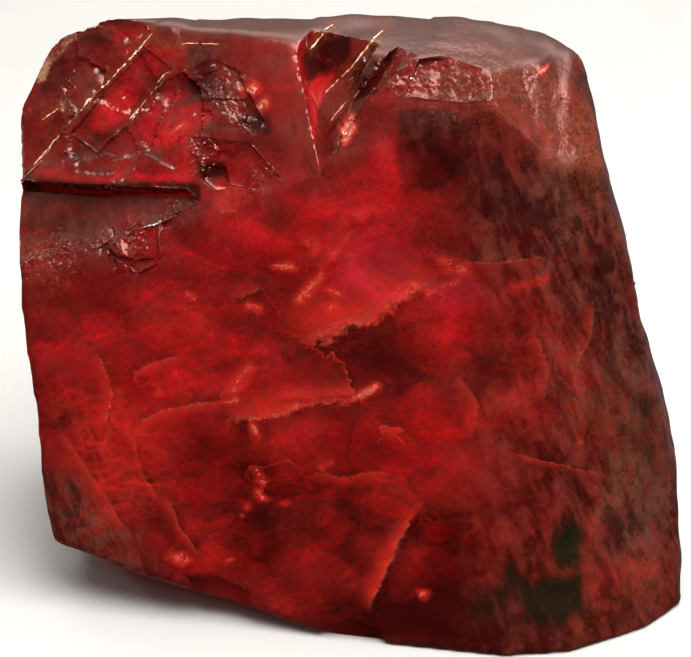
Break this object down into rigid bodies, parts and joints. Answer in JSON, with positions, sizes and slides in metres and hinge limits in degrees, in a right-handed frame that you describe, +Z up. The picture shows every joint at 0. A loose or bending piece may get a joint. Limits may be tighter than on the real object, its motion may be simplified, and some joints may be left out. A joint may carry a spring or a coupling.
{
  "type": "raw ruby crystal",
  "caption": "Rough blocky crystal of red corundum, glassy and waterworn, with parting steps, a notch, granular chips and a frosted grooved side.",
  "frame": {"origin": "bottom centre of the stone's box, on the surface it stands on", "axes": "+X to the stone's right along its longest side, -Y out of its glassy front face, +Z up"},
  "size_m": [0.0204, 0.0116, 0.0175],
  "materials": {
    "ruby": "deep red, glassy to frosted"
  },
  "bodies": {
    "root": {"ruby_crystal": "ruby"}
  },
  "joints": []
}
